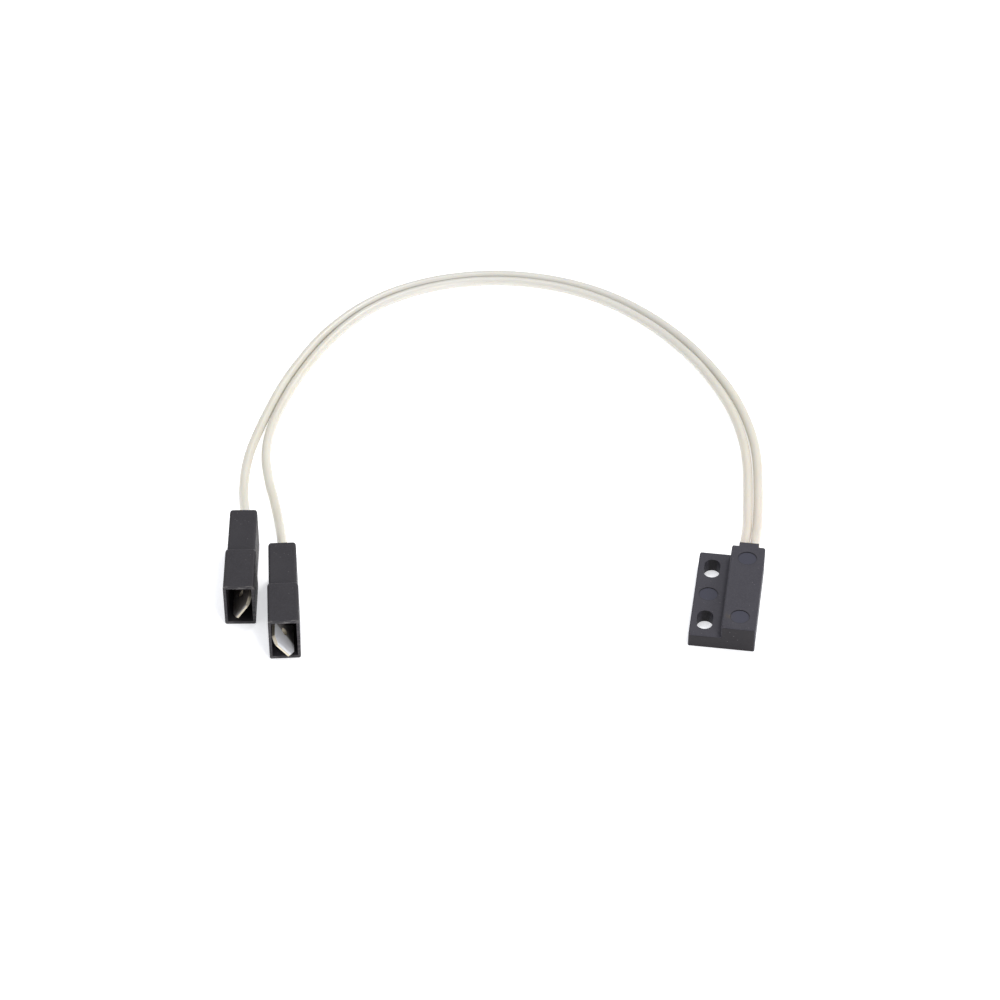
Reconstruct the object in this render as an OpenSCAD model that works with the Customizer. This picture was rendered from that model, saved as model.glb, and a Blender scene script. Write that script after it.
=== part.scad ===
// Flange-mount reed sensor on two loose leads, each lead ending in a flat tab inside an open plastic shroud.
// Millimetres. The origin is the middle of the housing's flat base, +Y points out of the lead end, +Z up.
// The housing lies flat; the leads and the shrouds lie on the same surface, z = 0.

/* [Sensor housing] */
// Width of the low flange beside the raised body
flange_w = 6.8; // [6.2:0.1:10]
// Thickness of the flange
flange_h = 3.1; // [2:0.1:4.5]
// Height of the raised body
body_h = 6; // [5.6:0.1:8]
// Radius of the upright corners at the lead end
lead_end_r = 0.8; // [0.3:0.1:1.5]
// Radius of the upright corners at the closed end
closed_end_r = 0.4; // [0.2:0.1:1.5]
// Rounding of the housing's top edges
edge_r = 0.3; // [0.1:0.05:0.6]
// Fillet where the body rises from the flange
step_fillet = 0.5; // [0.2:0.1:1]

/* [Mounting slots] */
// Width of each slot in the flange
slot_w = 3.4; // [2.2:0.1:4]
// Length of each slot, end to end
slot_l = 5.6; // [4.2:0.1:8]
// Distance between the middles of the two slots
slot_spacing = 16; // [12:0.5:18]
// Distance from the flange's outer edge to the middle of the slots
slot_inset = 3.05; // [2.6:0.05:3.4]

/* [Ejector marks] */
// Diameter of the round marks that the mould's ejector pins leave
mark_d = 4; // [2:0.1:4.6]
// Depth of the marks
mark_depth = 0.15; // [0.05:0.05:0.4]
// Distance between the two marks on the body
body_mark_spacing = 18.2; // [10:0.2:19]

/* [Tongue over the leads] */
// Width of the tongue
tongue_w = 4.2; // [3:0.1:5]
// How far the tongue stands out over the leads
tongue_l = 1.2; // [0.6:0.1:3]

/* [Pocket and potting] */
// Wall beside the pocket
side_wall = 1; // [0.7:0.05:2]
// Room for potting on each side of the switch and the leads
side_room = 0.4; // [0.1:0.05:2]
// Wall under the pocket
floor_wall = 1; // [0.6:0.1:1.2]
// Wall over the pocket, and thickness of the tongue
roof_wall = 1.2; // [0.6:0.1:1.4]
// Wall at the closed end
end_wall = 1.4; // [0.8:0.1:4]
// Room for potting between the last solder joint and the closed end
back_room = 0.9; // [0.5:0.1:6]
// Depth of the potting's face below the pocket's mouth
potting_recess = 0.3; // [0.1:0.1:0.8]

/* [Reed switch] */
// Length of the glass tube
reed_l = 14; // [12:0.5:20]
// Diameter of the glass tube
reed_d = 2.2; // [1.8:0.1:2.4]
// Thickness of the glass
glass_wall = 0.3; // [0.2:0.05:0.4]
// Length of solid glass sealed round each reed
seal_l = 2.4; // [1.6:0.1:3]
// Diameter of the reeds' round tails
tail_d = 0.56; // [0.4:0.02:0.6]
// Length of each tail outside the glass
tail_l = 2; // [1.6:0.1:4]
// Width of the flattened reeds
reed_blade_w = 1; // [0.6:0.1:1.1]
// Thickness of the flattened reeds
reed_blade_t = 0.2; // [0.14:0.02:0.24]
// Gap between the open contacts
contact_gap = 0.1; // [0.04:0.02:0.14]
// Length over which the two reeds overlap
contact_overlap = 1.2; // [0.6:0.1:2]
// Radius of the bend in the closed end's tail
tail_bend_r = 0.8; // [0.5:0.05:0.9]

/* [Solder joints] */
// Length of each solder joint
joint_l = 1.8; // [1.2:0.1:2.4]
// Diameter of each solder joint
joint_d = 1.5; // [1.3:0.1:1.8]

/* [Leads] */
// Diameter of a lead over its insulation
lead_d = 2.1; // [1.7:0.1:2.2]
// Diameter of the stranded core
core_d = 1; // [0.7:0.1:1.1]
// Length of lead a's insulation inside the housing
lead_grip = 2.8; // [1.6:0.1:6]
// Length of bare core at the sensor end of each lead
core_bare = 2; // [1.7:0.1:4]
// Sideways space between neighbours in the pocket
lead_gap = 0.05; // [0.05:0.05:0.2]

/* [Tab terminals] */
// Width of the tab
tab_w = 6.3; // [4.8:0.1:7.6]
// Length of the tab, from its tip to its neck
tab_l = 9.8; // [8.6:0.1:11.2]
// Thickness of the tab
tab_t = 0.8; // [0.5:0.1:0.8]
// Width taken off each corner of the tab's tip
tip_cut_w = 1.2; // [0.6:0.1:1.6]
// Length taken off each corner of the tab's tip
tip_cut_l = 2; // [1:0.1:3]
// Length of the bevel at the tip, above and below
tip_bevel_l = 0.6; // [0.3:0.1:1]
// Thickness left at the bevelled tip
tip_t = 0.4; // [0.25:0.05:0.45]
// Diameter of the detent hole
detent_d = 1.7; // [1.2:0.1:2]
// Distance from the tip to the middle of the detent hole
detent_y = 5.5; // [4.2:0.1:6.5]
// Thickness of the terminal's sheet at the crimps
sheet_t = 0.4; // [0.3:0.05:0.45]
// Width of the neck between the tab and the crimps
neck_w = 2; // [1.4:0.1:2.2]
// Length of the neck
neck_l = 1.6; // [1:0.1:2.4]
// Length of the crimp round the core
core_crimp_l = 3; // [2:0.1:3.6]
// Length of the open stretch between the two crimps
window_l = 0.9; // [0.5:0.1:1.5]
// Length of the crimp round the insulation
grip_crimp_l = 2.6; // [1.8:0.1:3.2]
// Width of the seam where the crimp's wings meet
seam_w = 0.16; // [0.08:0.02:0.3]

/* [Tab shrouds] */
// Length of a shroud
shroud_l = 25; // [23:0.5:34]
// Height of the shroud's front half
shroud_h = 10.7; // [10.2:0.1:13]
// Length of the front half
front_l = 11.7; // [11.5:0.1:14]
// How far the rear half is set in on each side
rear_inset = 0.3; // [0.1:0.05:0.5]
// How far the rear half's top is below the front half's
rear_drop = 0.8; // [0.4:0.1:1.5]
// Wall at each side of the mouth
mouth_wall = 0.6; // [0.4:0.05:0.8]
// Wall over and under the mouth
mouth_roof = 0.7; // [0.5:0.05:1]
// Clearance between the turned tab's corners and the walls of the mouth
tab_clearance = 0.05; // [0.05:0.05:0.6]
// Rounding of the shroud's long edges
shroud_edge_r = 0.5; // [0.2:0.1:1]
// Rounding of the rear half's upright corners
shroud_rear_r = 0.7; // [0.3:0.1:1.2]
// Rounding of the front half's upright corners at the step
step_corner_r = 0.8; // [0.4:0.1:1.2]
// Rounding of the front half's top edge at the step
step_edge_r = 0.3; // [0.1:0.05:0.35]
// Clearance round the crimps in their bore
crimp_clearance = 0.3; // [0.25:0.05:0.4]
// Clearance round the lead in the shroud's rear hole
lead_clearance = 0.2; // [0.2:0.05:0.3]

/* [Hidden] */
$fn = 48;
// How far a cut, or a piece that is sunk into another, runs past the face between them
over = 1;

// Lead a lies in line with the glass tube, and lead b passes beside the tube to the closed end.
lead_pitch = max(lead_d, (lead_d + reed_d) / 2) + lead_gap;
// The pocket, and with it the housing, is as long and as wide as the switch, its joints and the leads need.
pocket_l = back_room + joint_l / 2 + 2 * tail_l + reed_l + core_bare + lead_grip;
pocket_w = lead_pitch + max(lead_d, reed_d) + 2 * side_room;
pocket_h = body_h - floor_wall - roof_wall;
body_w = pocket_w + 2 * side_wall;
housing_l = pocket_l + end_wall;
housing_w = flange_w + body_w;

step_x = flange_w - housing_w / 2;
body_x = step_x + body_w / 2;
slot_x = slot_inset - housing_w / 2;
lead_face_y = housing_l / 2;
pocket_end_y = lead_face_y - pocket_l;
pocket_z = floor_wall + pocket_h / 2;

lead_a_x = body_x - lead_pitch / 2;
lead_b_x = body_x + lead_pitch / 2;
lead_a_start_y = lead_face_y - lead_grip;
joint_front_y = lead_a_start_y - core_bare;
glass_front_y = joint_front_y - tail_l;
glass_mid_y = glass_front_y - reed_l / 2;
glass_back_y = glass_front_y - reed_l;
joint_back_y = glass_back_y - tail_l;
lead_b_start_y = joint_back_y + core_bare;
chamber_l = reed_l - 2 * seal_l;
chamber_d = reed_d - 2 * glass_wall;
// Each round tail ends inside the chamber, and its flat blade starts within the tail.
tail_inner_l = 2 * tail_d;
blade_root_l = tail_d;
// Solder over the core at the two ends of a joint
joint_toe = 0.05;

// Places of the shrouds' mouths on the surface, and the turn of each shroud
shroud_a_place = [-89.8, -28.6, 0];
shroud_a_turn = 11.5;
shroud_b_place = [-101.1, -19.7, 0];
shroud_b_turn = 8.7;
// The terminals sit loosely: the turn of each tab, how far its tip stands out of the mouth, and how far it
// has swung to the side about the shroud's rear hole
tab_a_turn = 53;
tab_a_out = 1.5;
tab_a_swing = -0.4;
tab_b_turn = -56;
tab_b_out = 0.2;
tab_b_swing = 0.5;
tab_a_tilt = asin(tab_a_swing / (shroud_l + tab_a_out));
tab_b_tilt = asin(tab_b_swing / (shroud_l + tab_b_out));

// The terminal's own lengths run from the tip of its tab.
core_crimp_y = tab_l + neck_l;
grip_crimp_y = core_crimp_y + core_crimp_l + window_l;
terminal_l = grip_crimp_y + grip_crimp_l;
// The core ends just inside its crimp or joint, and the insulation just inside its own crimp.
core_end_margin = 0.2;
insulation_margin = 0.1;
core_crimp_r = core_d / 2 + sheet_t;
grip_crimp_r = lead_d / 2 + sheet_t;
crimp_bore_r = grip_crimp_r + crimp_clearance;
// The deeper of the two terminals stands just off the mouth's floor.
seat_gap = 0.15;
mouth_depth = tab_l - min(tab_a_out, tab_b_out) + seat_gap;
crimp_bore_end_y = terminal_l - min(tab_a_out, tab_b_out) + crimp_clearance;

// Both shrouds come from one mould, so the mouth takes whichever tab reaches further.
function half_width_turned(turn) = tab_w / 2 * cos(turn) + tab_t / 2 * abs(sin(turn));
function half_height_turned(turn) = tab_w / 2 * abs(sin(turn)) + tab_t / 2 * cos(turn);
reach_a = half_width_turned(tab_a_turn) + abs(tab_a_swing);
reach_b = half_width_turned(tab_b_turn) + abs(tab_b_swing);
mouth_w = 2 * (max(reach_a, reach_b) + tab_clearance);
lowest_reach = max(half_height_turned(tab_a_turn), half_height_turned(tab_b_turn));
tab_axis_h = mouth_roof + lowest_reach + tab_clearance;
shroud_w = mouth_w + 2 * mouth_wall;
rear_w = shroud_w - 2 * rear_inset;
rear_h = shroud_h - rear_drop;

// Route points of the two leads along the surface, from the sensor to the shrouds
lead_a_route = [
    [2.3, 17, 2.9], [2.3, 24.1, 1.6], [1.8, 31.2, 1.1], [1.2, 38.3, 1.1], [0.4, 45.4, 1.1], [-1, 52.5, 1.1],
    [-3.1, 59.3, 1.1], [-5.9, 65.9, 1.1], [-9.4, 72.2, 1.1], [-13.4, 78.2, 1.1], [-18, 83.7, 1.1],
    [-23, 88.8, 1.1], [-28.5, 93.3, 1.1], [-34.5, 97.2, 1.1], [-41, 100.3, 1.1], [-47.9, 102.4, 1.1],
    [-55, 103.3, 1.1], [-62.2, 103.2, 1.1], [-69.2, 102, 1.1], [-76, 99.7, 1.1], [-82.3, 96.3, 1.1],
    [-88, 91.9, 1.1], [-92.8, 86.6, 1.1], [-96.6, 80.5, 1.1], [-99.6, 74, 1.1], [-102, 67.2, 1.1],
    [-103.9, 60.3, 1.1], [-105.3, 53.3, 1.1], [-106.3, 46.2, 1.1], [-106.5, 39, 1.1], [-105.6, 31.9, 1.1],
    [-103.6, 25, 1.1], [-101.1, 18.3, 1.1], [-98.8, 11.5, 1.5], [-96.9, 5, 2.8]
];
lead_b_route = [
    [4.5, 17, 2.9], [4.5, 24.1, 1.6], [4.1, 31.4, 1.1], [3.5, 38.5, 1.1], [2.7, 45.8, 1.1], [1.3, 53.1, 1.1],
    [-0.9, 60.1, 1.1], [-3.8, 67, 1.1], [-7.4, 73.4, 1.1], [-11.6, 79.5, 1.1], [-16.2, 85.2, 1.1],
    [-21.4, 90.5, 1.1], [-27.1, 95.2, 1.1], [-33.4, 99.3, 1.1], [-40.2, 102.5, 1.1], [-47.4, 104.6, 1.1],
    [-54.9, 105.6, 1.1], [-62.4, 105.5, 1.1], [-69.8, 104.2, 1.1], [-76.9, 101.8, 1.1], [-83.6, 98.2, 1.1],
    [-89.5, 93.6, 1.1], [-94.6, 87.9, 1.1], [-98.6, 81.6, 1.1], [-101.8, 74.9, 1.1], [-104, 68.4, 1.1],
    [-105.9, 61.8, 1.1], [-107.3, 55.1, 1.1], [-108.3, 48.4, 1.1], [-109.1, 41.6, 1.1], [-109.6, 34.7, 1.1],
    [-109.4, 27.9, 1.1], [-108.5, 21.1, 1.2], [-107, 14.6, 2.4]
];
lead_sides = 8;
straight_out = 4;

plastic_black = [0.13, 0.13, 0.14];
potting_black = [0.06, 0.06, 0.06];
glass_green = [0.7, 0.8, 0.75, 0.5];
nickel_iron = [0.72, 0.72, 0.7];
solder_grey = [0.6, 0.6, 0.62];
lead_cream = [0.86, 0.84, 0.77];
copper_red = [0.8, 0.5, 0.35];
tin_grey = [0.78, 0.78, 0.8];

// Where an upright corner of a plan outline is rounded, this is what comes off: dir points into the outline.
module corner_waste(corner, dir, r)
    translate(corner)
        difference() {
            translate([dir.x > 0 ? -over : -r, dir.y > 0 ? -over : -r])
                square(r + over);
            translate(dir * r)
                circle(r);
        }

// A rectangle from x0 to x1 and y0 to y1, with one corner radius at its low y end and one at its high y end
module plan(x0, x1, y0, y1, r_low, r_high)
    difference() {
        translate([x0, y0])
            square([x1 - x0, y1 - y0]);
        corner_waste([x0, y0], [1, 1], r_low);
        corner_waste([x1, y0], [-1, 1], r_low);
        corner_waste([x0, y1], [1, -1], r_high);
        corner_waste([x1, y1], [-1, -1], r_high);
    }

// A cross-section from a to b, square at the bottom and rounded at its top corners
module section(a, b, h, r)
    difference() {
        translate([a, 0])
            square([b - a, h]);
        corner_waste([a, h], [1, -1], r);
        corner_waste([b, h], [-1, -1], r);
    }

// A cross-section in x and z drawn out along y
module along_y(y0, y1)
    translate([0, y1, 0])
        rotate([90, 0, 0])
            linear_extrude(y1 - y0)
                children();

// A cross-section in y and z drawn out along x
module along_x(x0, x1)
    translate([x0, 0, 0])
        rotate([90, 0, 90])
            linear_extrude(x1 - x0)
                children();

// A rod along y
module rod(x, y0, y1, z, d)
    translate([x, y0, z])
        rotate([-90, 0, 0])
            cylinder(d = d, h = y1 - y0);

// A block that is flat underneath and rounded along its top edges and up its corners
module rounded_block(x0, x1, y0, y1, h, r_low, r_high)
    intersection() {
        linear_extrude(h)
            plan(x0, x1, y0, y1, r_low, r_high);
        along_y(y0 - over, y1 + over)
            section(x0, x1, h, edge_r);
        along_x(x0 - over, x1 + over)
            section(y0, y1, h, edge_r);
    }

module housing_step(x0, x1, h)
    rounded_block(x0, x1, -housing_l / 2, lead_face_y, h, closed_end_r, lead_end_r);

module mounting_slot(y)
    translate([slot_x, y, -over])
        linear_extrude(flange_h + 2 * over) {
            square([slot_w, slot_l - slot_w], center = true);
            for (end = [-1, 1])
                translate([0, end * (slot_l - slot_w) / 2])
                    circle(d = slot_w);
        }

module ejector_mark(x, y, top)
    translate([x, y, top - mark_depth])
        cylinder(d = mark_d, h = mark_depth + over);

module tongue()
    translate([body_x, 0, body_h - roof_wall])
        rounded_block(
            -tongue_w / 2, tongue_w / 2, lead_face_y - over, lead_face_y + tongue_l, roof_wall, edge_r, edge_r
        );

module step_fillet_strip()
    along_y(-housing_l / 2 + closed_end_r, lead_face_y - lead_end_r)
        translate([step_x, flange_h])
            difference() {
                translate([-step_fillet, -over / 2])
                    square([step_fillet + over / 2, step_fillet + over / 2]);
                translate([-step_fillet, step_fillet])
                    circle(step_fillet);
            }

module pocket(y1)
    translate([body_x - pocket_w / 2, pocket_end_y, floor_wall])
        cube([pocket_w, y1 - pocket_end_y, pocket_h]);

module sensor_housing()
    color(plastic_black)
        difference() {
            union() {
                housing_step(-housing_w / 2, housing_w / 2, flange_h);
                housing_step(step_x, housing_w / 2, body_h);
                step_fillet_strip();
                tongue();
            }
            pocket(lead_face_y + over);
            for (side = [-1, 1]) {
                mounting_slot(side * slot_spacing / 2);
                ejector_mark(body_x, side * body_mark_spacing / 2, body_h);
            }
            ejector_mark(slot_x, 0, flange_h);
        }

// The space that a lead's insulation fills in the potting
module lead_space(x, y0)
    rod(x, y0, lead_face_y + over, pocket_z, lead_d);

module potting()
    color(potting_black)
        difference() {
            pocket(lead_face_y - potting_recess);
            lead_space(lead_a_x, lead_a_start_y);
            lead_space(lead_b_x, lead_b_start_y);
            glass_outline();
            tail_front();
            tail_back();
            core_sensor_end(lead_a_x, joint_front_y, lead_a_start_y);
            core_sensor_end(lead_b_x, joint_back_y - core_end_margin, lead_b_start_y);
            joint_outline(lead_a_x, joint_front_y);
            joint_outline(lead_b_x, joint_back_y);
        }

// Half of a round-ended rod's outline, turned about y
module round_ended(d, l)
    rotate([-90, 0, 0])
        rotate_extrude()
            intersection() {
                translate([0, -l / 2])
                    square([d, l]);
                union() {
                    translate([0, -(l - d) / 2])
                        square([d / 2, l - d]);
                    for (end = [-1, 1])
                        translate([0, end * (l - d) / 2])
                            circle(d = d);
                }
            }

module glass_outline()
    translate([lead_a_x, glass_mid_y, pocket_z])
        round_ended(reed_d, reed_l);

module reed_glass()
    color(glass_green)
        difference() {
            glass_outline();
            translate([lead_a_x, glass_mid_y, pocket_z])
                round_ended(chamber_d, chamber_l);
            rod(lead_a_x, glass_back_y - over, glass_front_y + over, pocket_z, tail_d);
        }

// A reed's flattened blade: side is 1 for the front reed and -1 for the back one
module reed_blade(side) {
    root_y = glass_mid_y + side * (chamber_l / 2 - blade_root_l);
    tip_y = glass_mid_y - side * contact_overlap / 2;
    translate([
        lead_a_x - reed_blade_w / 2,
        min(root_y, tip_y),
        pocket_z + side * (contact_gap + reed_blade_t) / 2 - reed_blade_t / 2
    ])
        cube([reed_blade_w, abs(root_y - tip_y), reed_blade_t]);
}

module tail_front()
    rod(lead_a_x, glass_mid_y + chamber_l / 2 - tail_inner_l, joint_front_y, pocket_z, tail_d);

// The back tail turns across to the bare core of lead b
module tail_back() {
    chamber_end_y = glass_mid_y - chamber_l / 2;
    rod(lead_a_x, joint_back_y + tail_bend_r, chamber_end_y + tail_inner_l, pocket_z, tail_d);
    translate([lead_a_x + tail_bend_r, joint_back_y + tail_bend_r, pocket_z])
        rotate([0, 0, 180])
            rotate_extrude(angle = 90)
                translate([tail_bend_r, 0])
                    circle(d = tail_d);
    translate([lead_a_x + tail_bend_r, joint_back_y, pocket_z])
        rotate([0, 90, 0])
            cylinder(d = tail_d, h = lead_pitch - tail_bend_r - core_d / 2);
}

module reed_front()
    color(nickel_iron) {
        tail_front();
        reed_blade(1);
    }

module reed_back()
    color(nickel_iron) {
        tail_back();
        reed_blade(-1);
    }

module core_sensor_end(x, y0, y1)
    rod(x, y0, y1, pocket_z, core_d);

module joint_outline(x, y)
    translate([x, y, pocket_z])
        rotate([-90, 0, 0])
            rotate_extrude()
                polygon([
                    [0, -joint_l / 2], [core_d / 2 + joint_toe, -joint_l / 2], [joint_d / 2, -joint_l / 4],
                    [joint_d / 2, joint_l / 4], [core_d / 2 + joint_toe, joint_l / 2], [0, joint_l / 2]
                ]);

module solder_joint_front()
    color(solder_grey)
        difference() {
            joint_outline(lead_a_x, joint_front_y);
            tail_front();
            core_sensor_end(lead_a_x, joint_front_y, lead_a_start_y);
        }

module solder_joint_back()
    color(solder_grey)
        difference() {
            joint_outline(lead_b_x, joint_back_y);
            tail_back();
            core_sensor_end(lead_b_x, joint_back_y - core_end_margin, lead_b_start_y);
        }

function unit(v) = v / norm(v);

function heading(route, i) =
    let (last = len(route) - 1)
    i == 0 ? unit(route[1] - route[0])
    : i == last ? unit(route[last] - route[last - 1])
    : unit(unit(route[i + 1] - route[i]) + unit(route[i] - route[i - 1]));

function ring(route, i, r) =
    let (ahead = heading(route, i))
    let (side = unit(cross(ahead, [0, 0, 1])))
    let (up = cross(side, ahead))
    [for (k = [0:lead_sides - 1])
        let (a = 360 * k / lead_sides)
        route[i] + r * (cos(a) * side + sin(a) * up)];

// A tube swept along a route, one ring at each of its points
module lead_tube(route) {
    n = len(route);
    points = [for (i = [0:n - 1]) each ring(route, i, lead_d / 2)];
    walls = [
        for (i = [0:n - 2])
            for (k = [0:lead_sides - 1])
                let (next = (k + 1) % lead_sides, here = i * lead_sides, there = here + lead_sides)
                [here + k, here + next, there + next, there + k]
    ];
    first_cap = [for (k = [lead_sides - 1:-1:0]) k];
    last_cap = [for (k = [0:lead_sides - 1]) (n - 1) * lead_sides + k];
    polyhedron(points, concat([first_cap], walls, [last_cap]));
}

function sensor_stretch(x, y) = [[x, y, pocket_z], [x, lead_face_y, pocket_z]];

// A point on a shroud's bore at its rear hole, and one that is a length ahead of it at a heading
function hole_point(place, turn) = place + [-shroud_l * sin(turn), shroud_l * cos(turn), tab_axis_h];
function ahead_of(point, heading, length) = point + length * [sin(heading), -cos(heading), 0];

// A lead goes straight into the rear hole, and then along its terminal's axis to the crimp.
function shroud_stretch(place, turn, tilt, out) = [
    ahead_of(hole_point(place, turn), turn, -straight_out),
    hole_point(place, turn),
    ahead_of(hole_point(place, turn), turn + tilt, shroud_l + out - grip_crimp_y - insulation_margin)
];

module lead_a()
    color(lead_cream)
        lead_tube(concat(
            sensor_stretch(lead_a_x, lead_a_start_y),
            lead_a_route,
            shroud_stretch(shroud_a_place, shroud_a_turn, tab_a_tilt, tab_a_out)
        ));

module lead_b()
    color(lead_cream)
        lead_tube(concat(
            sensor_stretch(lead_b_x, lead_b_start_y),
            lead_b_route,
            shroud_stretch(shroud_b_place, shroud_b_turn, tab_b_tilt, tab_b_out)
        ));

module core_a_sensor_end()
    color(copper_red)
        core_sensor_end(lead_a_x, joint_front_y, lead_a_start_y);

module core_b_sensor_end()
    color(copper_red)
        core_sensor_end(lead_b_x, joint_back_y - core_end_margin, lead_b_start_y);

module in_shroud(place, turn)
    translate(place)
        rotate([0, 0, turn])
            children();

// A terminal's frame: its tip at the origin, swung about the shroud's rear hole and turned about its own axis
module in_shroud_a(tab_turn)
    in_shroud(shroud_a_place, shroud_a_turn)
        swung(tab_a_tilt, tab_a_out, tab_turn)
            children();

module in_shroud_b(tab_turn)
    in_shroud(shroud_b_place, shroud_b_turn)
        swung(tab_b_tilt, tab_b_out, tab_turn)
            children();

module swung(tilt, out, tab_turn)
    translate([0, shroud_l, tab_axis_h])
        rotate([0, 0, tilt])
            translate([0, -shroud_l - out, 0])
                rotate([0, tab_turn, 0])
                    children();

module core_tab_end()
    color(copper_red)
        rod(0, core_crimp_y + core_end_margin, grip_crimp_y + insulation_margin, 0, core_d);

module core_a_tab_end()
    in_shroud_a(0)
        core_tab_end();

module core_b_tab_end()
    in_shroud_b(0)
        core_tab_end();

// The flat tab: its outline from above, thinned at the tip
module tab_blade()
    difference() {
        intersection() {
            translate([0, 0, -tab_t / 2])
                linear_extrude(tab_t)
                    polygon([
                        [tip_cut_w - tab_w / 2, 0], [tab_w / 2 - tip_cut_w, 0], [tab_w / 2, tip_cut_l],
                        [tab_w / 2, tab_l], [-tab_w / 2, tab_l], [-tab_w / 2, tip_cut_l]
                    ]);
            along_x(-tab_w, tab_w)
                polygon([
                    [0, -tip_t / 2], [tip_bevel_l, -tab_t / 2], [tab_l, -tab_t / 2],
                    [tab_l, tab_t / 2], [tip_bevel_l, tab_t / 2], [0, tip_t / 2]
                ]);
        }
        translate([0, detent_y, -tab_t])
            cylinder(d = detent_d, h = 2 * tab_t);
    }

// Two wings of sheet wrapped round a wire, meeting in a seam on top
module crimp(y, l, wire_d)
    difference() {
        rod(0, y, y + l, 0, wire_d + 2 * sheet_t);
        rod(0, y - over, y + l + over, 0, wire_d);
        translate([-seam_w / 2, y - over, 0])
            cube([seam_w, l + 2 * over, wire_d]);
    }

// The strip of sheet under the wires: it runs down from the tab to one crimp, and on to the wider one
module crimp_strip()
    along_x(-neck_w / 2, neck_w / 2)
        polygon([
            [tab_l - over, -tab_t / 2], [tab_l, -tab_t / 2], [core_crimp_y, -core_crimp_r],
            [core_crimp_y + core_crimp_l, -core_crimp_r], [grip_crimp_y, -grip_crimp_r],
            [grip_crimp_y, -grip_crimp_r + sheet_t], [core_crimp_y + core_crimp_l, -core_crimp_r + sheet_t],
            [core_crimp_y, -core_crimp_r + sheet_t], [tab_l, tab_t / 2], [tab_l - over, tab_t / 2]
        ]);

module terminal()
    union() {
        tab_blade();
        crimp(core_crimp_y, core_crimp_l, core_d);
        crimp(grip_crimp_y, grip_crimp_l, lead_d);
        intersection() {
            crimp_strip();
            rod(0, tab_l - over, grip_crimp_y, 0, 2 * grip_crimp_r);
        }
    }

module tab_a()
    color(tin_grey)
        in_shroud_a(tab_a_turn)
            terminal();

module tab_b()
    color(tin_grey)
        in_shroud_b(tab_b_turn)
            terminal();

// A shroud's cross-section: all four corners rounded
module shroud_section(w, h)
    translate([-w / 2, 0])
        difference() {
            square([w, h]);
            corner_waste([0, 0], [1, 1], shroud_edge_r);
            corner_waste([w, 0], [-1, 1], shroud_edge_r);
            corner_waste([w, h], [-1, -1], shroud_edge_r);
            corner_waste([0, h], [1, -1], shroud_edge_r);
        }

module shroud_front_half()
    intersection() {
        along_y(0, front_l)
            shroud_section(shroud_w, shroud_h);
        linear_extrude(shroud_h)
            plan(-shroud_w / 2, shroud_w / 2, -over - step_corner_r, front_l, step_corner_r, step_corner_r);
        along_x(-shroud_w, shroud_w)
            difference() {
                square([front_l, shroud_h]);
                corner_waste([front_l, shroud_h], [-1, -1], step_edge_r);
            }
    }

module shroud_rear_half()
    intersection() {
        along_y(front_l - 2 * step_corner_r, shroud_l)
            shroud_section(rear_w, rear_h);
        linear_extrude(rear_h)
            plan(-rear_w / 2, rear_w / 2, 0, shroud_l, shroud_rear_r, shroud_rear_r);
    }

module shroud()
    difference() {
        union() {
            shroud_front_half();
            shroud_rear_half();
        }
        translate([-mouth_w / 2, -over, mouth_roof])
            cube([mouth_w, mouth_depth + over, shroud_h - 2 * mouth_roof]);
        rod(0, mouth_depth - over, crimp_bore_end_y, tab_axis_h, 2 * crimp_bore_r);
        rod(0, mouth_depth, shroud_l + over, tab_axis_h, lead_d + 2 * lead_clearance);
    }

module shroud_a()
    color(plastic_black)
        in_shroud(shroud_a_place, shroud_a_turn)
            shroud();

module shroud_b()
    color(plastic_black)
        in_shroud(shroud_b_place, shroud_b_turn)
            shroud();

sensor_housing();
potting();
reed_glass();
reed_front();
reed_back();
solder_joint_front();
solder_joint_back();
lead_a();
lead_b();
core_a_sensor_end();
core_b_sensor_end();
core_a_tab_end();
core_b_tab_end();
tab_a();
tab_b();
shroud_a();
shroud_b();
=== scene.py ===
"""Looks of the flange-mount reed sensor with two flying leads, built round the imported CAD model.

Lengths are in metres, so each one given in millimetres is multiplied by MM.
"""
import math
import random
from collections import namedtuple

import bpy
from mathutils import Euler, Matrix, Vector, noise


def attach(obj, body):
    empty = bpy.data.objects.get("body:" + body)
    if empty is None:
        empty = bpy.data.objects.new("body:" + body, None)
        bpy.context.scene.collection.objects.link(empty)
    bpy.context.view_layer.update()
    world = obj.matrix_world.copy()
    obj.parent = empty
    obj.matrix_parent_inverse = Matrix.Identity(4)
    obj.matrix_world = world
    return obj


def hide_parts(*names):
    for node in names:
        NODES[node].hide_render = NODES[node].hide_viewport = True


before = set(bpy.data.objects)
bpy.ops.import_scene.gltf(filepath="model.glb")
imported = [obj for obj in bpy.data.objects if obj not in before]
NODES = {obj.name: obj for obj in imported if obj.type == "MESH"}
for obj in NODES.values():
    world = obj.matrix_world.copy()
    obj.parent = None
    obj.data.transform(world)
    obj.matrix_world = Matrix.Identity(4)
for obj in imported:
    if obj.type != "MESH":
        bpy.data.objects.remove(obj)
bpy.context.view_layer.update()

MM = 0.001

# -------- sizes from part.scad
LEAD_R = 1.05 * MM
POCKET_Z = 2.9 * MM
POTTING_FACE_Y = 12.7 * MM
POCKET_X = (0.8 * MM, 6.0 * MM)
POCKET_Z_RANGE = (1.0 * MM, 4.8 * MM)
LEAD_X = (2.3 * MM, 4.5 * MM)
SLOT_X = -3.95 * MM
BODY_X = 3.4 * MM
FLANGE_TOP_Z = 3.1 * MM
MARK_R = 2.0 * MM
MARKS = ((BODY_X, 9.1 * MM), (BODY_X, -9.1 * MM), (SLOT_X, 0))

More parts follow.
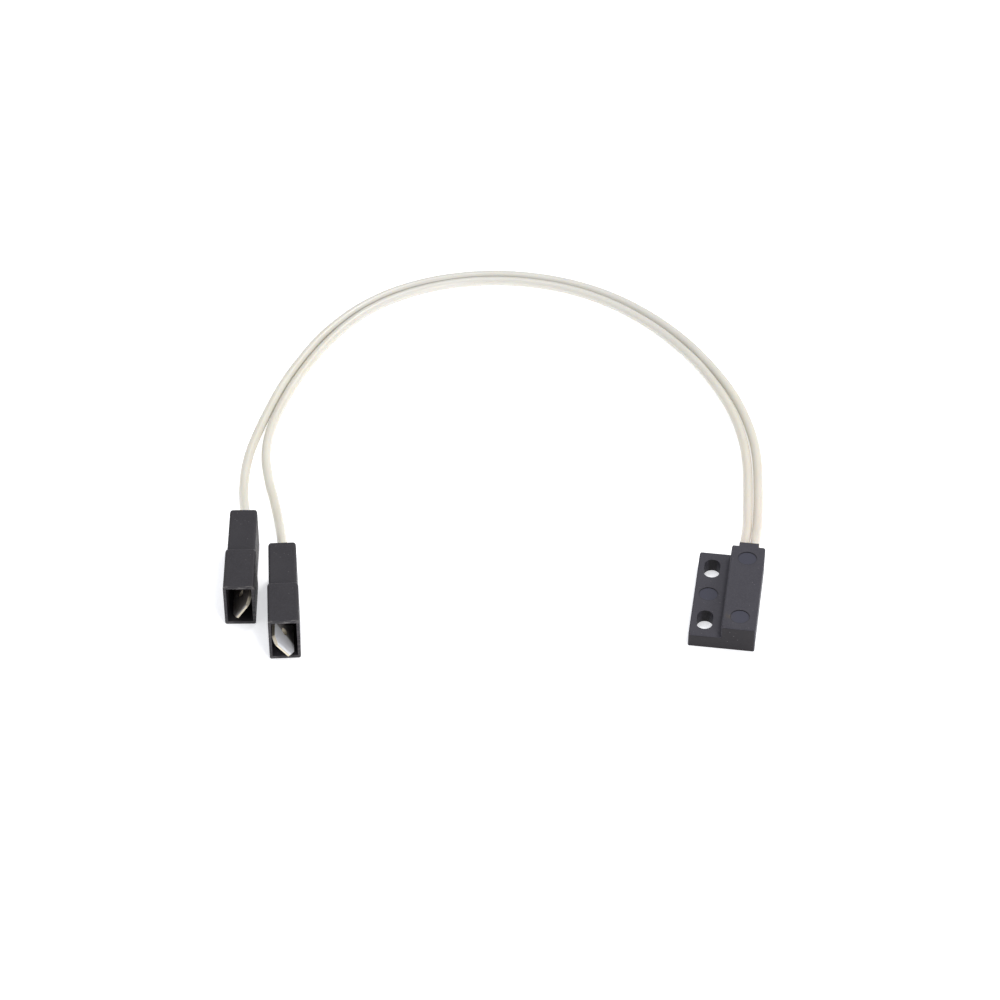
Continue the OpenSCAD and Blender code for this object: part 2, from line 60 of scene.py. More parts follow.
SHROUD_L = 25 * MM
SHROUD_W = 6.53 * MM
SHROUD_H = 10.7 * MM
FRONT_L = 11.7 * MM
REAR_H = 9.9 * MM
STEP_CORNER_R = 0.8 * MM
MOUTH_W = 5.33 * MM
MOUTH_ROOF = 0.7 * MM
TAB_AXIS_H = 3.585 * MM
TAB_L = 9.8 * MM
TAB_W = 6.3 * MM
TAB_T = 0.8 * MM
TIP_CUT_W = 1.2 * MM
TIP_CUT_L = 2.0 * MM
DETENT_Y = 5.5 * MM
DETENT_R = 0.85 * MM
INSULATION_END_Y = 15.4 * MM
STRAIGHT_OUT = 4 * MM

# Place of each shroud's mouth, its turn about z, the turn of the tab in it, how far the tab's tip
# stands out of the mouth, and how far it has swung to the side about the shroud's rear hole
Shroud = namedtuple("Shroud", "place turn tab_turn tab_out tab_swing")
SHROUDS = {
    "a": Shroud(
        place=Vector((-89.8, -28.6, 0)) * MM, turn=math.radians(11.5),
        tab_turn=math.radians(53), tab_out=1.5 * MM, tab_swing=-0.4 * MM,
    ),
    "b": Shroud(
        place=Vector((-101.1, -19.7, 0)) * MM, turn=math.radians(8.7),
        tab_turn=math.radians(-56), tab_out=0.2 * MM, tab_swing=0.5 * MM,
    ),
}

# Where the painted shadow on a tab's face starts behind its tip, how much that line slants, and how
# dark it gets
TAB_SHADOW = {"a": (4.5 * MM, 0.3, 0.8), "b": (-0.3 * MM, 0.0, 0.9)}

# Middle of the brown smear on the body's top
SMEAR = (1.5 * MM, -9.0 * MM)

FLASH_SEED = {"a": 21, "b": 34}

# Each lead's route in mm, in the potting and over the surface; its stretch in the shroud is added
LEAD_A = [
    (2.3, 10.2, 2.9), (2.3, 13, 2.9), (2.3, 17, 2.9), (2.3, 24.1, 1.6), (1.8, 31.2, 1.1),
    (1.2, 38.3, 1.1), (0.4, 45.4, 1.1), (-1, 52.5, 1.1), (-3.1, 59.3, 1.1), (-5.9, 65.9, 1.1),
    (-9.4, 72.2, 1.1), (-13.4, 78.2, 1.1), (-18, 83.7, 1.1), (-23, 88.8, 1.1), (-28.5, 93.3, 1.1),
    (-34.5, 97.2, 1.1), (-41, 100.3, 1.1), (-47.9, 102.4, 1.1), (-55, 103.3, 1.1),
    (-62.2, 103.2, 1.1), (-69.2, 102, 1.1), (-76, 99.7, 1.1), (-82.3, 96.3, 1.1), (-88, 91.9, 1.1),
    (-92.8, 86.6, 1.1), (-96.6, 80.5, 1.1), (-99.6, 74, 1.1), (-102, 67.2, 1.1),
    (-103.9, 60.3, 1.1), (-105.3, 53.3, 1.1), (-106.3, 46.2, 1.1), (-106.5, 39, 1.1),
    (-105.6, 31.9, 1.1), (-103.6, 25, 1.1), (-101.1, 18.3, 1.1), (-98.8, 11.5, 1.5),
    (-96.9, 5, 2.8),
]
LEAD_B = [
    (4.5, -7.8, 2.9), (4.5, 13, 2.9), (4.5, 17, 2.9), (4.5, 24.1, 1.6), (4.1, 31.4, 1.1),
    (3.5, 38.5, 1.1), (2.7, 45.8, 1.1), (1.3, 53.1, 1.1), (-0.9, 60.1, 1.1), (-3.8, 67, 1.1),
    (-7.4, 73.4, 1.1), (-11.6, 79.5, 1.1), (-16.2, 85.2, 1.1), (-21.4, 90.5, 1.1),
    (-27.1, 95.2, 1.1), (-33.4, 99.3, 1.1), (-40.2, 102.5, 1.1), (-47.4, 104.6, 1.1),
    (-54.9, 105.6, 1.1), (-62.4, 105.5, 1.1), (-69.8, 104.2, 1.1), (-76.9, 101.8, 1.1),
    (-83.6, 98.2, 1.1), (-89.5, 93.6, 1.1), (-94.6, 87.9, 1.1), (-98.6, 81.6, 1.1),
    (-101.8, 74.9, 1.1), (-104, 68.4, 1.1), (-105.9, 61.8, 1.1), (-107.3, 55.1, 1.1),
    (-108.3, 48.4, 1.1), (-109.1, 41.6, 1.1), (-109.6, 34.7, 1.1), (-109.4, 27.9, 1.1),
    (-108.5, 21.1, 1.2), (-107, 14.6, 2.4),
]


def shroud_frame(letter):
    shroud = SHROUDS[letter]
    return Matrix.Translation(shroud.place) @ Matrix.Rotation(shroud.turn, 4, "Z")


def tab_tilt(letter):
    """The turn about z that brings the tab's tip to its place to the side of the shroud's middle."""
    shroud = SHROUDS[letter]
    return math.asin(shroud.tab_swing / (SHROUD_L + shroud.tab_out))


def terminal_frame(letter):
    """The frame of a terminal before the turn about its own axis, with its tip at the origin."""
    hole = shroud_frame(letter) @ Matrix.Translation((0, SHROUD_L, TAB_AXIS_H))
    reach = SHROUD_L + SHROUDS[letter].tab_out
    return hole @ Matrix.Rotation(tab_tilt(letter), 4, "Z") @ Matrix.Translation((0, -reach, 0))


def shroud_stretch(letter):
    """The last points of a lead's route: straight in through the rear hole, to the terminal."""
    places = (SHROUD_L + STRAIGHT_OUT, SHROUD_L)
    in_shroud = [shroud_frame(letter) @ Vector((0, y, TAB_AXIS_H)) for y in places]
    return in_shroud + [terminal_frame(letter) @ Vector((0, INSULATION_END_Y, 0))]


# -------- camera
def add_camera():
    data = bpy.data.cameras.new("camera")
    data.sensor_width = 36
    data.lens = 122.4
    data.clip_start = 0.01
    data.clip_end = 10
    camera = bpy.data.objects.new("camera", data)
    bpy.context.scene.collection.objects.link(camera)
    camera.location = (0.02582, -0.52706, 0.49596)
    aim = Vector((-0.05238, 0.02697, 0))
    camera.rotation_mode = "QUATERNION"
    camera.rotation_quaternion = (aim - camera.location).to_track_quat("-Z", "Y")
    bpy.context.scene.camera = camera


# -------- mesh helpers
def add_mesh(name, vertices, faces, smooth=True):
    mesh = bpy.data.meshes.new(name)
    mesh.from_pydata([tuple(v) for v in vertices], [], faces)
    mesh.validate()
    if smooth:
        mesh.shade_smooth()
    piece = bpy.data.objects.new(name, mesh)
    bpy.context.scene.collection.objects.link(piece)
    return piece


def finish_piece(piece, material):
    piece.data.materials.append(material)
    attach(piece, "root")


def monotone_slopes(values, knots):
    """Slopes of a curve that never passes beyond two neighbouring values, so a lead doesn't dip."""
    steps = [(b - a) / (t - s) for a, b, s, t in zip(values, values[1:], knots, knots[1:])]
    slopes = [steps[0]]
    for before, after in zip(steps, steps[1:]):
        slopes.append(0 if before * after <= 0 else 2 * before * after / (before + after))
    return slopes + [steps[-1]]


def smooth_slopes(values, knots):
    slopes = [(values[1] - values[0]) / (knots[1] - knots[0])]
    for i in range(1, len(values) - 1):
        slopes.append((values[i + 1] - values[i - 1]) / (knots[i + 1] - knots[i - 1]))
    return slopes + [(values[-1] - values[-2]) / (knots[-1] - knots[-2])]


def smooth_route(points, spacing):
    """Close points along one smooth curve through the route's points."""
    knots = [0]
    for a, b in zip(points, points[1:]):
        knots.append(knots[-1] + (b - a).length)
    columns = [[p[axis] for p in points] for axis in range(3)]
    kinds = (smooth_slopes, smooth_slopes, monotone_slopes)
    slopes = [kind(column, knots) for kind, column in zip(kinds, columns)]
    route = []
    for i in range(len(points) - 1):
        span = knots[i + 1] - knots[i]
        count = max(1, round(span / spacing))
        for k in range(count):
            t = k / count
            route.append(Vector(
                (2 * t**3 - 3 * t**2 + 1) * column[i] + (t**3 - 2 * t**2 + t) * span * slope[i]
                + (3 * t**2 - 2 * t**3) * column[i + 1] + (t**3 - t**2) * span * slope[i + 1]
                for column, slope in zip(columns, slopes)
            ))
    return route + [points[-1]]


# -------- leads
LEAD_SIDES = 28
LEAD_STEP = 1.1 * MM
SWELL = 0.006
SWELLS_PER_METRE = 60
UV_LENGTH = 10 * MM


def lead_mesh(name, route, seed):
    """A round tube along the route, not quite even in width, with its turn and its length as UVs."""
    vertices, faces = [], []
    up = Vector((0, 0, 1))
    run = [0.0]
    for a, b in zip(route, route[1:]):
        run.append(run[-1] + (b - a).length)
    for i, centre in enumerate(route):
        ahead = (route[min(i + 1, len(route) - 1)] - route[max(i - 1, 0)]).normalized()
        side = ahead.cross(up).normalized()
        top = side.cross(ahead)
        swell = 1 + SWELL * noise.noise(Vector((run[i] * SWELLS_PER_METRE, seed, 0)))
        for k in range(LEAD_SIDES):
            turn = 2 * math.pi * k / LEAD_SIDES
            vertices.append(centre + LEAD_R * swell * (math.cos(turn) * side + math.sin(turn) * top))
    for i in range(len(route) - 1):
        for k in range(LEAD_SIDES):
            here, there, after = i * LEAD_SIDES, (i + 1) * LEAD_SIDES, (k + 1) % LEAD_SIDES
            faces.append((here + k, here + after, there + after, there + k))
    faces.append(tuple(range(LEAD_SIDES - 1, -1, -1)))
    last = (len(route) - 1) * LEAD_SIDES
    faces.append(tuple(last + k for k in range(LEAD_SIDES)))
    piece = add_mesh(name, vertices, faces)
    layer = piece.data.uv_layers.new(name="lead")
    for face in piece.data.polygons:
        corners = [piece.data.loops[i].vertex_index for i in face.loop_indices]
        wraps = len(corners) == 4 and max(c % LEAD_SIDES for c in corners) == LEAD_SIDES - 1
        wraps = wraps and min(c % LEAD_SIDES for c in corners) == 0
        for loop, corner in zip(face.loop_indices, corners):
            turn = corner % LEAD_SIDES
            if wraps and turn == 0:
                turn = LEAD_SIDES
            layer.data[loop].uv = (turn / LEAD_SIDES, run[corner // LEAD_SIDES] / UV_LENGTH)
    return piece


def add_lead(letter, points_mm, seed):
    points = [Vector(p) * MM for p in points_mm] + shroud_stretch(letter)
    route = smooth_route(points, LEAD_STEP)
    piece = lead_mesh("insulation_" + letter, route, seed)
    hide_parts("lead_" + letter)
    return piece


# -------- material helpers
class Shade:
    """One material under construction: each method adds a node and gives back its output."""

    def __init__(self, name):
        self.material = bpy.data.materials.new(name)
        self.material.use_nodes = True
        self.tree = self.material.node_tree
        self.surface = self.tree.nodes["Principled BSDF"]
        coordinates = self.node("ShaderNodeTexCoord")
        self.where = coordinates.outputs["Object"]
        self.facing = coordinates.outputs["Normal"]

    def node(self, kind, **settings):
        made = self.tree.nodes.new(kind)
        for key, value in settings.items():
            setattr(made, key, value)
        return made

    def plug(self, socket, value):
        if isinstance(value, bpy.types.NodeSocket):
            self.tree.links.new(value, socket)
        else:
            socket.default_value = value

    def set(self, **values):
        """Inputs of the surface, each named with an underscore for a space."""
        for key, value in values.items():
            self.plug(self.surface.inputs[key.replace("_", " ")], value)

    def local(self, place, turn, tab_turn=0.0):
        """Coordinates in a shroud's or a tab's own frame."""
        made = self.node("ShaderNodeMapping", vector_type="TEXTURE")
        made.inputs["Location"].default_value = place
        made.inputs["Rotation"].default_value = Euler((0, tab_turn, turn))
        self.plug(made.inputs["Vector"], self.where)
        return made.outputs["Vector"]

    def stretched(self, vector, scale):
        made = self.node("ShaderNodeMapping", vector_type="POINT")
        made.inputs["Scale"].default_value = scale
        self.plug(made.inputs["Vector"], vector)
        return made.outputs["Vector"]

    def noise(self, vector, size, detail=2.0, roughness=0.5, offset=0.0):
        """Noise whose blobs are about size metres across."""
        made = self.node("ShaderNodeTexNoise", noise_dimensions="4D")
        self.plug(made.inputs["Vector"], vector)
        made.inputs["W"].default_value = offset
        made.inputs["Scale"].default_value = 1 / size
        made.inputs["Detail"].default_value = detail
        made.inputs["Roughness"].default_value = roughness
        return made.outputs["Fac"]

    def cells(self, vector, size):
        made = self.node("ShaderNodeTexVoronoi", feature="F1")
        self.plug(made.inputs["Vector"], vector)
        made.inputs["Scale"].default_value = 1 / size
        return made.outputs["Distance"], made.outputs["Color"]

    def ramp(self, value, low, high):
        """A colour between low and high, for the values from 0.3 to 0.7 that noise mostly has."""
        made = self.node("ShaderNodeValToRGB")
        for element, at, colour in zip(made.color_ramp.elements, (0.3, 0.7), (low, high)):
            element.position = at
            element.color = (*colour, 1)
        self.plug(made.inputs["Fac"], value)
        return made.outputs["Color"]

    def mix(self, share, first, second):
        """The first colour, with a share of the second."""
        made = self.node("ShaderNodeMix", data_type="RGBA")
        for index, value in ((0, share), (6, first), (7, second)):
            if isinstance(value, tuple):
                value = (*value, 1)
            self.plug(made.inputs[index], value)
        return made.outputs[2]

    def math(self, operation, first, second=0.0, third=None):
        made = self.node("ShaderNodeMath", operation=operation)
        self.plug(made.inputs[0], first)
        self.plug(made.inputs[1], second)
        if third is not None:
            self.plug(made.inputs[2], third)
        return made.outputs[0]

    def product(self, first, *others):
        """All the values multiplied."""
        for other in others:
            first = self.math("MULTIPLY", first, other)
        return first

    def hypot(self, first, second):
        squares = self.math("ADD", self.product(first, first), self.product(second, second))
        return self.math("SQRT", squares)

    def range(self, value, low, high, to_low=0.0, to_high=1.0):
        made = self.node("ShaderNodeMapRange", interpolation_type="SMOOTHSTEP")
        for index, number in enumerate((value, low, high, to_low, to_high)):
            self.plug(made.inputs[index], number)
        return made.outputs[0]

    def split(self, vector):
        made = self.node("ShaderNodeSeparateXYZ")
        self.plug(made.inputs[0], vector)
        return made.outputs[0], made.outputs[1], made.outputs[2]

    def bump(self, height, distance, strength=1.0, under=None):
        made = self.node("ShaderNodeBump")
        made.inputs["Strength"].default_value = strength
        made.inputs["Distance"].default_value = distance
        self.plug(made.inputs["Height"], height)
        if under is not None:
            self.plug(made.inputs["Normal"], under)
        return made.outputs["Normal"]


def specks(shade, vector, size, share):
    """A mask of scattered specks, each at most size metres across; share of the cells hold one."""
    distance, colour = shade.cells(vector, size * 2.5)
    chosen = shade.math("GREATER_THAN", shade.split(colour)[0], 1 - share)
    dot = shade.range(distance, 0.10, 0.28, 1.0, 0.0)
    return shade.product(chosen, dot)


def near_circle(shade, vector, centre, radius, soft):
    """1 inside a circle round an upright axis and 0 outside it."""
    x, y, _ = shade.split(vector)
    away = shade.hypot(shade.math("SUBTRACT", x, centre[0]), shade.math("SUBTRACT", y, centre[1]))
    return shade.range(away, radius - soft, radius + soft, 1.0, 0.0)


def finish_plastic(shade, where, grain, colour, fleck, rough):
    """The specks and the finely grained skin that the housing and the shrouds share."""
    dots = specks(shade, where, 0.17 * MM, 0.05)
    grit = shade.noise(where, 0.14 * MM, 2, 0.6, 5)
    shade.set(
        Base_Color=shade.mix(shade.product(dots, 0.55), colour, fleck), Roughness=rough,
        IOR=1.5, Specular_IOR_Level=0.26,
        Normal=shade.bump(grit, 0.012 * MM, 0.7, shade.bump(grain, 0.03 * MM, 0.6)),
    )
    return shade.material


# -------- materials
def housing_material():
    shade = Shade("housing_charcoal")
    where = shade.where
    grain = shade.noise(where, 0.32 * MM, 3, 0.6)
    cloud = shade.noise(where, 4 * MM, 3, 0.5, 2)
    colour = shade.ramp(cloud, (0.033, 0.031, 0.041), (0.043, 0.041, 0.052))
    colour = shade.mix(shade.range(grain, 0.35, 0.75), colour, (0.053, 0.051, 0.062))
    # The ejector marks are a little bluer, each with a thin dark outline of painted shade where its
    # recessed edge would be shaded
    marks = recess_edge_shade = 0.0
    for centre in MARKS:
        disc = near_circle(shade, where, centre, MARK_R - 0.05 * MM, 0.06 * MM)
        rim = near_circle(shade, where, centre, MARK_R + 0.08 * MM, 0.05 * MM)
        marks = shade.math("MAXIMUM", marks, disc)
        recess_edge_shade = shade.math("MAXIMUM", recess_edge_shade, rim)
    recess_edge_shade = shade.math("SUBTRACT", recess_edge_shade, marks)
    blotches = shade.range(shade.noise(where, 1.3 * MM, 4, 0.65, 9), 0.38, 0.66, 0.0, 0.6)
    smear = shade.product(near_circle(shade, where, SMEAR, 0.9 * MM, 0.9 * MM), blotches)
    colour = shade.mix(smear, colour, (0.085, 0.068, 0.046))
    # Painted shade: faces towards the two ends are a little darker and warmer than the top and the
    # sides, as if less light reaches them
    end_face_shade = shade.range(shade.math("ABSOLUTE", shade.split(shade.facing)[1]), 0.75, 0.95)
    colour = shade.mix(shade.product(end_face_shade, 0.8), colour, (0.013, 0.011, 0.012))
    on_top = shade.range(shade.split(where)[2], FLANGE_TOP_Z - 0.4 * MM, FLANGE_TOP_Z - 0.25 * MM)
    marks = shade.product(marks, on_top)
    recess_edge_shade = shade.product(recess_edge_shade, on_top)
    colour = shade.mix(shade.product(marks, 0.75), colour, (0.038, 0.039, 0.061))
    colour = shade.mix(shade.product(recess_edge_shade, 0.7), colour, (0.016, 0.015, 0.018))
    rough = shade.range(grain, 0.3, 0.7, 0.50, 0.62)
    rough = shade.math("SUBTRACT", rough, shade.product(marks, 0.10))
    return finish_plastic(shade, where, grain, colour, (0.20, 0.19, 0.20), rough)


def shroud_material(letter):
    shade = Shade("shroud_charcoal_" + letter)
    where = shade.local(SHROUDS[letter].place, SHROUDS[letter].turn)
    grain = shade.noise(where, 0.30 * MM, 3, 0.6, 3)
    cloud = shade.noise(where, 5 * MM, 3, 0.5, 4)
    colour = shade.ramp(cloud, (0.021, 0.019, 0.023), (0.028, 0.026, 0.030))
    colour = shade.mix(shade.range(grain, 0.35, 0.75), colour, (0.038, 0.036, 0.042))
    across, along, above = shade.split(where)
    # A paler line of painted highlight along the step's rounded outline, where its rounded edge
    # would catch the light
    past_side = shade.math("SUBTRACT", shade.math("ABSOLUTE", across), SHROUD_W / 2 - STEP_CORNER_R)
    past_side = shade.math("MAXIMUM", past_side, 0.0)
    past_end = shade.math("MAXIMUM", shade.math("SUBTRACT", along, FRONT_L - STEP_CORNER_R), 0.0)
    inward = shade.math("SUBTRACT", STEP_CORNER_R, shade.hypot(past_side, past_end))
    step_highlight = shade.product(
        shade.range(inward, 0.10 * MM, 0.32 * MM, 1.0, 0.0), shade.range(past_end, 0, 0.2 * MM),
        shade.range(above, REAR_H, REAR_H + 0.3 * MM), 0.65,
    )
    colour = shade.mix(step_highlight, colour, (0.14, 0.135, 0.14))
    # Scuffed, paler plastic round the mouth's rim
    streaks = shade.noise(shade.stretched(where, (0.4, 1.8, 1.8)), 0.7 * MM, 3, 0.6, 6)
    scuffs = shade.product(
        shade.range(along, 0.05 * MM, 0.35 * MM, 1.0, 0.0),
        shade.range(above, SHROUD_H - 1.2 * MM, SHROUD_H - 0.6 * MM, 0.35, 1.0),
        shade.range(streaks, 0.46, 0.66, 0.0, 0.6),
    )
    colour = shade.mix(scuffs, colour, (0.20, 0.19, 0.185))
    rough = shade.range(grain, 0.3, 0.7, 0.46, 0.60)
    return finish_plastic(shade, where, grain, colour, (0.19, 0.18, 0.18), rough)


def insulation_material():
    shade = Shade("insulation_cream")
    where = shade.where
    skin = shade.node("ShaderNodeUVMap", uv_map="lead").outputs["UV"]
    lines = shade.noise(shade.stretched(skin, (6, 0.05, 1)), 0.16, 3, 0.6)
    cloud = shade.noise(where, 9 * MM, 3, 0.5, 1)
    colour = shade.ramp(cloud, (0.665, 0.638, 0.560), (0.705, 0.683, 0.610))
    colour = shade.mix(shade.range(lines, 0.3, 0.8, 0.0, 0.35), colour, (0.60, 0.58, 0.49))
    # Warmer near the sensor; cooler at the top of the arch, a painted reflection of a bluish sky on
    # the leads
    across, along, _ = shade.split(where)
    warm = shade.product(
        shade.range(along, 20 * MM, 60 * MM, 1.0, 0.0), shade.range(across, -30 * MM, -5 * MM), 0.7)
    colour = shade.mix(warm, colour, (0.700, 0.638, 0.562))
    sky_reflection = shade.range(along, 60 * MM, 95 * MM, 0.0, 0.55)
    colour = shade.mix(sky_reflection, colour, (0.61, 0.605, 0.58))
    dirt = shade.range(shade.noise(where, 1.1 * MM, 4, 0.7, 7), 0.62, 0.74, 0.0, 0.35)
    colour = shade.mix(dirt, colour, (0.50, 0.46, 0.37))
    dots = specks(shade, where, 0.18 * MM, 0.04)
    colour = shade.mix(shade.product(dots, 0.55), colour, (0.34, 0.30, 0.24))
    ripple = shade.noise(where, 0.5 * MM, 3, 0.5, 8)
    shade.set(
        Base_Color=colour, Roughness=shade.range(cloud, 0.3, 0.7, 0.30, 0.40),
        IOR=1.5, Specular_IOR_Level=0.6,
        Subsurface_Weight=0.5, Subsurface_Scale=0.9 * MM, Subsurface_Radius=(1.0, 0.75, 0.45),
        Normal=shade.bump(ripple, 0.010 * MM, 0.5, shade.bump(lines, 0.006 * MM, 0.6)),
    )
    return shade.material


def potting_material():
    shade = Shade("potting_black")
    where = shade.where
    cloud = shade.noise(where, 1.4 * MM, 3, 0.5)
    shade.set(
        Base_Color=shade.ramp(cloud, (0.010, 0.010, 0.011), (0.020, 0.020, 0.021)),
        Roughness=shade.range(cloud, 0.35, 0.7, 0.12, 0.26), IOR=1.54,
        Normal=shade.bump(shade.noise(where, 0.9 * MM, 2, 0.4, 3), 0.02 * MM, 0.5),
    )
    return shade.material


def tab_material(letter):
    """Bright tin over brass sheet, with the brass bare where the sheet was cut and pierced."""
    shade = Shade("tinned_brass_" + letter)
    shroud = SHROUDS[letter]
    tip_place = terminal_frame(letter).translation
    where = shade.local(tip_place, shroud.turn + tab_tilt(letter), shroud.tab_turn)
    across, along, above = shade.split(where)
    out = shade.math("ABSOLUTE", across)
    rolled = shade.noise(shade.stretched(where, (1, 0.06, 1)), 0.16 * MM, 3, 0.65)
    cloud = shade.noise(where, 2.2 * MM, 3, 0.5, 2)
    tin = shade.ramp(cloud, (0.91, 0.92, 0.96), (0.94, 0.945, 0.97))
    tin = shade.mix(shade.range(rolled, 0.35, 0.7, 0.0, 0.5), tin, (0.85, 0.86, 0.89))
    # A painted shadow covers tab b's faces, and starts at the detent hole on tab a, where the
    # mouth's walls would shade the tab
    start, slant, darkest = TAB_SHADOW[letter]
    behind = shade.math("MULTIPLY_ADD", across, slant, along)
    painted_shadow = shade.range(behind, start, start + 0.9 * MM, 0.0, darkest)
    painted_shadow = shade.product(painted_shadow, shade.range(cloud, 0.2, 0.5, 0.8, 1.0))
    tin = shade.mix(painted_shadow, tin, (0.11, 0.085, 0.065))
    # The edge of the outline: straight sides, then the cut corners
    lean = TIP_CUT_W / TIP_CUT_L
    allowed = shade.math(
        "MINIMUM", TAB_W / 2,
        shade.math("ADD", TAB_W / 2 - TIP_CUT_W, shade.product(along, lean)),
    )
    inward = shade.math("SUBTRACT", allowed, out)
    edge = shade.range(inward, 0.02 * MM, 0.10 * MM, 1.0, 0.0)
    tip = shade.range(along, 0.03 * MM, 0.12 * MM, 1.0, 0.0)
    hole = near_circle(shade, where, (0, DETENT_Y), DETENT_R + 0.03 * MM, 0.04 * MM)
    bare = shade.math("MAXIMUM", shade.math("MAXIMUM", edge, tip), hole)
    within = shade.range(shade.math("ABSOLUTE", above), TAB_T / 2 - 0.08 * MM, TAB_T / 2, 1.0, 0.15)
    on_tab = shade.range(along, TAB_L - 0.2 * MM, TAB_L + 0.1 * MM, 1.0, 0.0)
    bare = shade.product(bare, within, on_tab)
    colour = shade.mix(bare, tin, (0.70, 0.635, 0.50))
    rough = shade.range(rolled, 0.3, 0.7, 0.42, 0.52)
    rough = shade.math("ADD", rough, shade.product(bare, 0.10))
    shade.set(
        Base_Color=colour, Metallic=0.25, Roughness=rough,
        Normal=shade.bump(cloud, 0.02 * MM, 0.3, shade.bump(rolled, 0.004 * MM, 0.6)),
    )
    return shade.material


def plain_metal(name, dark, light, roughness, grain_size):
    shade = Shade(name)
    grain = shade.noise(shade.where, grain_size, 3, 0.6)
    shade.set(
        Base_Color=shade.ramp(grain, dark, light), Metallic=1.0,
        Roughness=shade.range(grain, 0.3, 0.7, roughness - 0.06, roughness + 0.08),
        Normal=shade.bump(grain, 0.006 * MM, 0.5),
    )
    return shade.material


def glass_material():
    shade = Shade("reed_glass_green")
    cloud = shade.noise(shade.where, 2 * MM, 2, 0.5)
    shade.set(
        Base_Color=shade.ramp(cloud, (0.72, 0.84, 0.77), (0.80, 0.90, 0.84)),
        Transmission_Weight=0.92, Roughness=0.04, IOR=1.5,
        Normal=shade.bump(shade.noise(shade.where, 0.8 * MM, 2, 0.4, 2), 0.004 * MM, 0.4),
    )
    return shade.material


def floor_material():
    shade = Shade("floor_white")
    paper = shade.noise(shade.where, 0.5 * MM, 3, 0.6)
    shade.set(
        Base_Color=shade.ramp(paper, (0.90, 0.90, 0.905), (0.92, 0.92, 0.925)),
        Roughness=0.85, Specular_IOR_Level=0.2,
        Emission_Color=(0.98, 0.985, 1.0, 1), Emission_Strength=0.48,
    )
    return shade.material


def dress(node, material):
    mesh = NODES[node].data
    mesh.materials.clear()
    mesh.materials.append(material)


# -------- small forms
def potting_meniscus(material):
    """The resin's face at the lead end: it climbs the walls and the leads, and sinks between."""
    columns, rows = 84, 62
    rise, reach, sink, most_climb = 0.22 * MM, 0.28 * MM, 0.05 * MM, 1.1
    proud, thick = 0.03 * MM, 0.2 * MM
    ripple, ripples_per_metre = 0.02 * MM, 900
    (left, right), (low, high) = POCKET_X, POCKET_Z_RANGE
    vertices = []
    for j in range(rows + 1):
        for i in range(columns + 1):
            x, z = left + (right - left) * i / columns, low + (high - low) * j / rows
            wall = min(x - left, right - x, z - low, high - z)
            lead = min(math.hypot(x - at, z - POCKET_Z) for at in LEAD_X) - LEAD_R
            climb = math.exp(-wall / reach) + math.exp(-max(lead, 0) / reach)
            uneven = ripple * noise.noise(Vector((x, 7, z)) * ripples_per_metre)
            y = POTTING_FACE_Y + proud + rise * min(climb, most_climb) - sink + uneven
            vertices.append((x, y, z))
    front_count = len(vertices)
    vertices += [(x, POTTING_FACE_Y - thick, z) for x, _, z in vertices]
    faces = []
    row = columns + 1
    for j in range(rows):
        for i in range(columns):
            a = j * row + i
            b = front_count + a
            faces.append((a, a + row, a + row + 1, a + 1))
            faces.append((b, b + 1, b + row + 1, b + row))
    rim = list(range(row)) + [j * row + columns for j in range(1, rows + 1)]
    rim += [rows * row + i for i in range(columns - 1, -1, -1)]
    rim += [j * row for j in range(rows - 1, 0, -1)]
    for a, b in zip(rim, rim[1:] + rim[:1]):
        faces.append((a, b, front_count + b, front_count + a))
    finish_piece(add_mesh("potting_meniscus", vertices, faces), material)


def rim_flash(letter, material, seed):
    """A ragged film of moulding flash that hangs from the mouth's upper rim."""
    rng = random.Random(seed)
    to_world = shroud_frame(letter)
    mouth_half = MOUTH_W / 2
    rim_z = SHROUD_H - MOUTH_ROOF
    root_z = rim_z + 0.02 * MM
    front, back = 0.02 * MM, 0.10 * MM
    vertices, faces = [], []
    count = 46
    for i in range(count + 1):
        x = -mouth_half + 2 * mouth_half * i / count
        # Mostly short, with a few longer teeth, and shorter behind than in front
        hang = (0.05 + 0.16 * rng.random() ** 2) * MM
        edge_z, back_edge_z = rim_z - hang, rim_z - hang * 0.4
        for y, z in ((front, edge_z), (front, root_z), (back, root_z), (back, back_edge_z)):
            vertices.append(to_world @ Vector((x, y, z)))
    for i in range(count):
        a = 4 * i
        for k in range(4):
            n = (k + 1) % 4
            faces.append((a + k, a + n, a + 4 + n, a + 4 + k))
    faces.append((3, 2, 1, 0))
    last = 4 * count
    faces.append((last, last + 1, last + 2, last + 3))
    piece = add_mesh("rim_flash_" + letter, vertices, faces, smooth=False)
    finish_piece(piece, material)


# -------- studio
def add_area(name, place, aim, size, power, colour):
    data = bpy.data.lights.new(name, "AREA")
    data.shape = "RECTANGLE"
    data.size, data.size_y = size
    data.energy = power
    data.color = colour
    light = bpy.data.objects.new(name, data)
    bpy.context.scene.collection.objects.link(light)
    light.location = place
    light.rotation_mode = "QUATERNION"
    light.rotation_quaternion = (Vector(aim) - Vector(place)).to_track_quat("-Z", "Y")


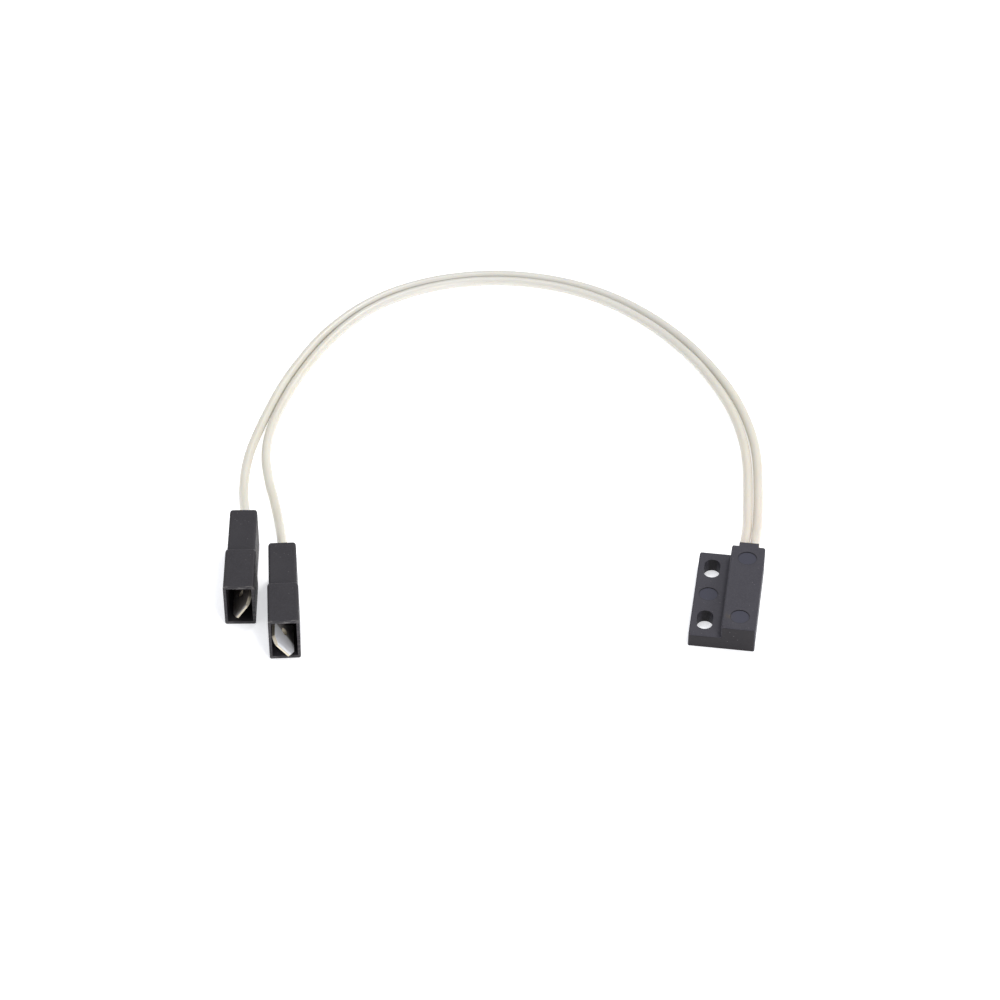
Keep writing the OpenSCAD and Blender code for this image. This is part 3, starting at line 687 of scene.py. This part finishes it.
def add_studio():
    scene = bpy.context.scene
    scene.view_settings.view_transform = "Standard"
    scene.view_settings.look = "None"
    world = bpy.data.worlds.new("studio")
    world.use_nodes = True
    world.node_tree.nodes["Background"].inputs["Color"].default_value = (0.97, 0.975, 1.0, 1)
    world.node_tree.nodes["Background"].inputs["Strength"].default_value = 0.49
    scene.world = world
    middle = (-0.05, 0.03, 0)
    add_area("key_softbox", (0.50, 1.15, 1.85), middle, (0.5, 0.5), 16, (1.0, 0.985, 0.96))
    add_area("top_softbox", (-0.15, 0.20, 1.8), middle, (1.8, 1.3), 12, (0.92, 0.945, 1.0))
    add_area("right_strip", (0.82, -1.12, 0.66), middle, (0.4, 0.5), 10.5, (1.0, 0.99, 0.98))
    half, level = 1.5, -0.02 * MM
    corners = [(x * half, y * half, level) for x, y in ((-1, -1), (1, -1), (1, 1), (-1, 1))]
    floor = add_mesh("floor", corners, [(0, 1, 2, 3)], smooth=False)
    floor.data.materials.append(floor_material())


# -------- the scene
add_camera()
cream = insulation_material()
for made in (
    add_lead("a", LEAD_A, seed=3),
    add_lead("b", LEAD_B, seed=11),
):
    finish_piece(made, cream)

resin = potting_material()
reed_metal = plain_metal("reed_nickel_iron", (0.52, 0.51, 0.48), (0.66, 0.65, 0.61), 0.28, 0.3 * MM)
solder = plain_metal("solder_dull", (0.42, 0.42, 0.43), (0.60, 0.60, 0.62), 0.42, 0.5 * MM)
copper = plain_metal("copper_strands", (0.60, 0.30, 0.19), (0.85, 0.50, 0.36), 0.32, 0.2 * MM)
dress("sensor_housing", housing_material())
dress("potting", resin)
dress("reed_glass", glass_material())
for node in ("reed_front", "reed_back"):
    dress(node, reed_metal)
for node in ("solder_joint_front", "solder_joint_back"):
    dress(node, solder)
for node in ("core_a_sensor_end", "core_b_sensor_end", "core_a_tab_end", "core_b_tab_end"):
    dress(node, copper)
for letter in SHROUDS:
    plastic = shroud_material(letter)
    dress("shroud_" + letter, plastic)
    dress("tab_" + letter, tab_material(letter))
    rim_flash(letter, plastic, FLASH_SEED[letter])
potting_meniscus(resin)
add_studio()
